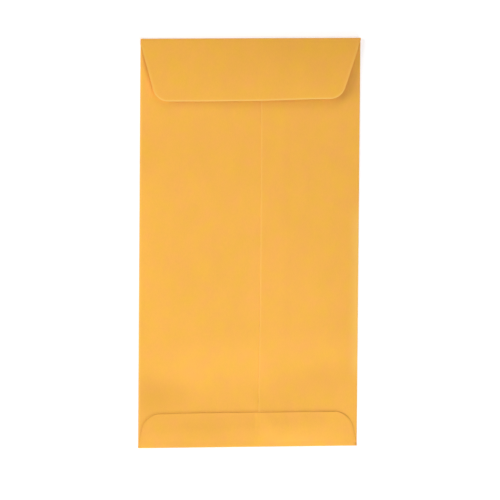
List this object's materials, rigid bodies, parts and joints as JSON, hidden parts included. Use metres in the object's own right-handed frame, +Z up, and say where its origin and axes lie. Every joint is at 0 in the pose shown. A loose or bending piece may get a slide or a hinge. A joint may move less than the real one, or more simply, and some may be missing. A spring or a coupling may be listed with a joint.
{
  "type": "paper envelope",
  "caption": "Narrow open-end kraft paper envelope, folded from one sheet with an overlapped centre seam, a glued bottom flap and a loose seal flap.",
  "frame": {"origin": "under the middle of the outline, on the surface that the envelope's address face lies on", "axes": "+X across the envelope, +Y along it towards the seal flap, +Z up out of the back"},
  "size_m": [0.0888, 0.165, 0.004],
  "materials": {
    "kraft_paper": "matt golden-brown kraft paper with a fine fibre mottle and slightly lighter cut edges"
  },
  "bodies": {
    "root": {"envelope": "kraft_paper"}
  },
  "joints": []
}
